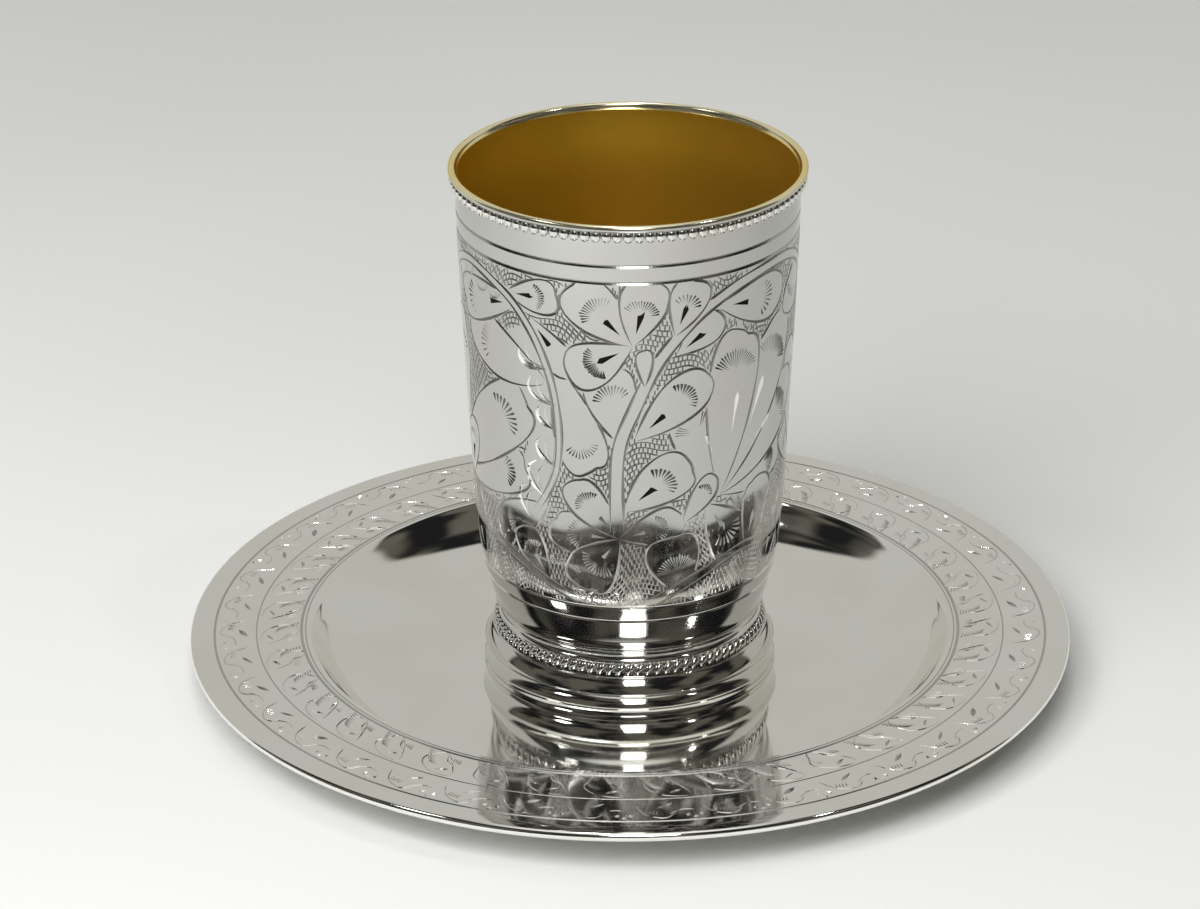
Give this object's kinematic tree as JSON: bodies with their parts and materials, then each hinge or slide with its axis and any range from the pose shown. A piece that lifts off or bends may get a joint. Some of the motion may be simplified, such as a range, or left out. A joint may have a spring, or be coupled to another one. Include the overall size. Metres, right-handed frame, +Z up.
{
  "type": "kiddush cup with matching plate",
  "caption": "Engraved silver beaker with a gilt inside, a beaded lip and a spun foot with a rope border, standing on its matching engraved round plate.",
  "frame": {"origin": "centre of the plate's underside, on the cup's axis", "axes": "+Z up along the axis of the cup and the plate"},
  "size_m": [0.1476, 0.1476, 0.0892],
  "materials": {
    "silver": "hand-polished silver with bright-cut engraving",
    "milled_silver": "milled silver wire, polished on the high points",
    "gilt": "satin gold wash on the inside of the bowl and over the lip"
  },
  "bodies": {
    "root": {"cup_body": "silver", "rim_beading": "milled_silver", "foot": "silver", "foot_rope_border": "milled_silver", "plate": "silver"}
  },
  "joints": []
}
